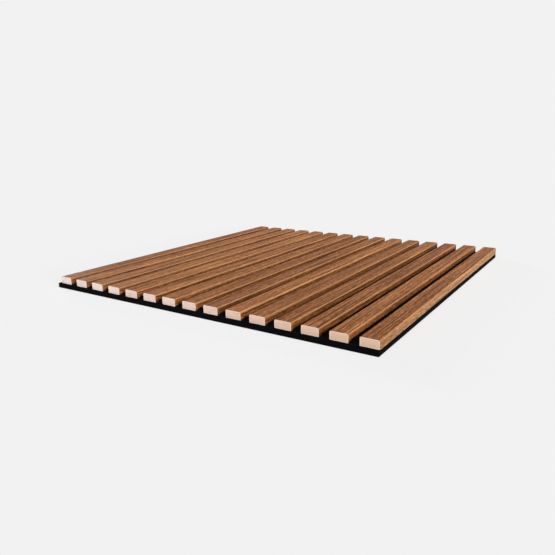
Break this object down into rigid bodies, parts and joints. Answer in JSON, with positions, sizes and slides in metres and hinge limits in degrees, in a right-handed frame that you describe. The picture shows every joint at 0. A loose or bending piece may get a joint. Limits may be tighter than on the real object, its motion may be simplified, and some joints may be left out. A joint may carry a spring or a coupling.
{
  "type": "acoustic slat wall panel",
  "caption": "Square wall panel of veneered wooden slats fixed side by side with open gaps on a black felt backing, lying face up.",
  "frame": {"origin": "centre of the felt's back face, where the panel lies on a surface or against a wall", "axes": "+Z out of the slatted face, +Y along the slats towards the edge where they are flush with the felt, +X across the slats towards the edge where the last slat is flush with the felt"},
  "size_m": [0.592, 0.6, 0.02],
  "materials": {
    "felt": "pressed polyester felt, black",
    "core": "sawn pale fibreboard",
    "veneer": "oiled walnut veneer, satin",
    "staple": "galvanised wire"
  },
  "bodies": {
    "root": {"felt_backing": "felt", "slat_01_core": "core", "slat_01_veneer": "veneer", "slat_02_core": "core", "slat_02_veneer": "veneer", "slat_03_core": "core", "slat_03_veneer": "veneer", "slat_04_core": "core", "slat_04_veneer": "veneer", "slat_05_core": "core", "slat_05_veneer": "veneer", "slat_06_core": "core", "slat_06_veneer": "veneer", "slat_07_core": "core", "slat_07_veneer": "veneer", "slat_08_core": "core", "slat_08_veneer": "veneer", "slat_09_core": "core", "slat_09_veneer": "veneer", "slat_10_core": "core", "slat_10_veneer": "veneer", "slat_11_core": "core", "slat_11_veneer": "veneer", "slat_12_core": "core", "slat_12_veneer": "veneer", "slat_13_core": "core", "slat_13_veneer": "veneer", "slat_14_core": "core", "slat_14_veneer": "veneer", "slat_15_core": "core", "slat_15_veneer": "veneer", "staples": "staple"}
  },
  "joints": []
}
